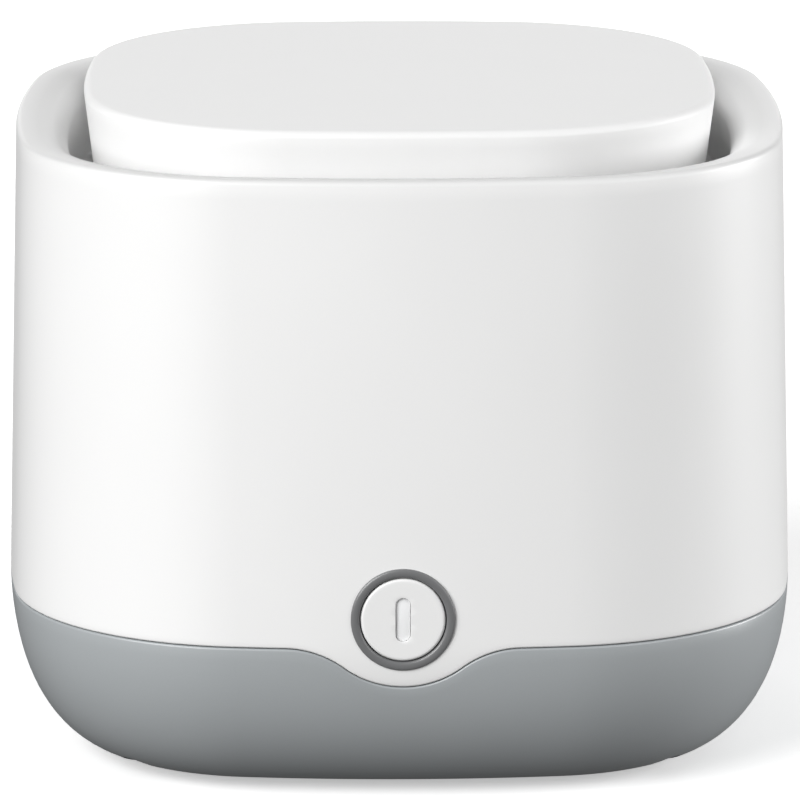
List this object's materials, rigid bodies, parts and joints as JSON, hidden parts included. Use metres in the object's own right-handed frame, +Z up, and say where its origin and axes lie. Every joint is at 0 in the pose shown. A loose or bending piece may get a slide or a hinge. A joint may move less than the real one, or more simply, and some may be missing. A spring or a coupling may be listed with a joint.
{
  "type": "ultrasonic retainer cleaner",
  "caption": "Squircle white bath on a grey scalloped base, with a lift-off lid standing in a dished rim, a round front power button, a steel tank and a slotted basket.",
  "frame": {"origin": "centre of the footprint on the surface that the feet stand on", "axes": "+Z up, -Y towards the button on the front, +X to the right of someone facing the button"},
  "size_m": [0.12, 0.1202, 0.1002],
  "materials": {
    "shell_white": "satin white",
    "base_grey": "satin cool grey",
    "lid_white": "satin white",
    "liner_white": "satin white",
    "silicone": "soft translucent grey",
    "tank_steel": "brushed inside, bright radius",
    "bracket_black": "moulded black",
    "piezo_ceramic": "silvered ceramic",
    "basket_white": "satin white",
    "ring_grey": "satin dark grey",
    "light_pipe": "frosted clear",
    "switch_black": "moulded black",
    "circuit_board": "green solder mask",
    "ferrite": "sintered dark grey",
    "capacitor_sleeve": "shrink sleeve",
    "sink_aluminium": "extruded",
    "connector_white": "moulded ivory",
    "contact_metal": "nickel plated",
    "screw_steel": "zinc plated",
    "foot_rubber": "matt dark rubber",
    "lead_sleeve": "soft sleeve"
  },
  "bodies": {
    "housing": {"upper_shell": "shell_white", "base_shell": "base_grey", "tank": "tank_steel", "tank_gasket": "silicone", "tank_bracket": "bracket_black", "piezo_disc": "piezo_ceramic", "button_ring": "ring_grey", "switch_body": "switch_black", "indicator_leds": "light_pipe", "button_board": "circuit_board", "main_board": "circuit_board", "drive_inductor": "ferrite", "capacitors": "capacitor_sleeve", "heat_sink": "sink_aluminium", "power_transistors": "switch_black", "board_connectors": "connector_white", "inlet_body": "switch_black", "inlet_pin": "contact_metal", "inlet_nut": "contact_metal", "case_screws": "screw_steel", "bracket_screws": "screw_steel", "board_screws": "screw_steel", "button_board_screws": "screw_steel", "foot_left_front": "foot_rubber", "foot_left_rear": "foot_rubber", "foot_right_front": "foot_rubber", "foot_right_rear": "foot_rubber", "button_leads": "lead_sleeve", "transducer_leads": "lead_sleeve", "inlet_leads": "lead_sleeve"},
    "lid": {"lid_cover": "lid_white", "lid_liner": "liner_white", "lid_seal": "silicone"},
    "basket": {"basket": "basket_white"},
    "button": {"button_cap": "shell_white", "light_pipe": "light_pipe", "switch_plunger": "switch_black"}
  },
  "joints": [
    {"name": "lid_lift", "type": "slide", "parent": "housing", "child": "lid", "axis": [0, 0, 1], "range_m": [0, 0.12]},
    {"name": "basket_lift", "type": "slide", "parent": "housing", "child": "basket", "axis": [0, 0, 1], "range_m": [0, 0.09]},
    {"name": "button_press", "type": "slide", "parent": "housing", "child": "button", "axis": [0, 1, 0], "range_m": [0, 0.0005], "stiffness_N_per_m": 300, "springref_m": -0.002}
  ],
  "couplings": [
    {"joint": "basket_lift", "follows": "lid_lift", "ratio": 0.75}
  ]
}
